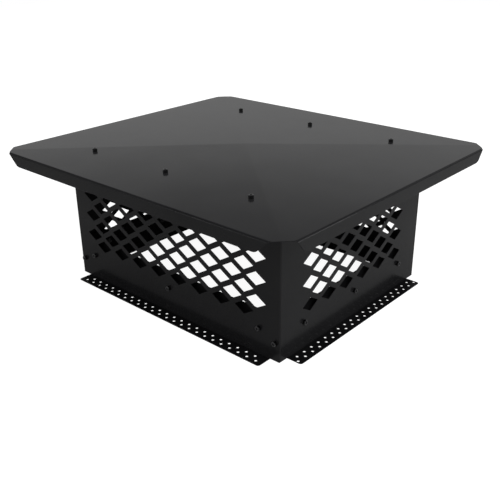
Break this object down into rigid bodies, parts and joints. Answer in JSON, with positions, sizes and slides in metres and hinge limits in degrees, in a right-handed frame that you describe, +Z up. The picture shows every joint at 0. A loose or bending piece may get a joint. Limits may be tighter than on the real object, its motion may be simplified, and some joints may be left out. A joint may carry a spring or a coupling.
{
  "type": "chimney cap",
  "caption": "Black sheet steel chimney cap with a cross-broken rain hood, diamond-mesh spark screens and a perforated base flange that sits on the flue",
  "frame": {"origin": "centre of the footprint on the underside of the base flanges", "axes": "+X along the long walls, +Y to the back, +Z up to the hood; the picture looks from -Y and +X"},
  "size_m": [0.54, 0.481, 0.2141],
  "materials": {
    "hood_coat": "satin black powder coat",
    "screen_coat": "satin black powder coat",
    "base_coat": "satin black powder coat",
    "screw_finish": "black oxide, satin"
  },
  "bodies": {
    "root": {"hood": "hood_coat", "front_screen": "screen_coat", "front_base_angle": "base_coat", "front_wall_screws": "screw_finish", "front_wall_nuts": "screw_finish", "front_corner_screws": "screw_finish", "front_corner_nuts": "screw_finish", "right_screen": "screen_coat", "right_base_angle": "base_coat", "right_wall_screws": "screw_finish", "right_wall_nuts": "screw_finish", "back_screen": "screen_coat", "back_base_angle": "base_coat", "back_wall_screws": "screw_finish", "back_wall_nuts": "screw_finish", "back_corner_screws": "screw_finish", "back_corner_nuts": "screw_finish", "left_screen": "screen_coat", "left_base_angle": "base_coat", "left_wall_screws": "screw_finish", "left_wall_nuts": "screw_finish", "hood_screws": "screw_finish", "hood_nuts": "screw_finish"}
  },
  "joints": []
}
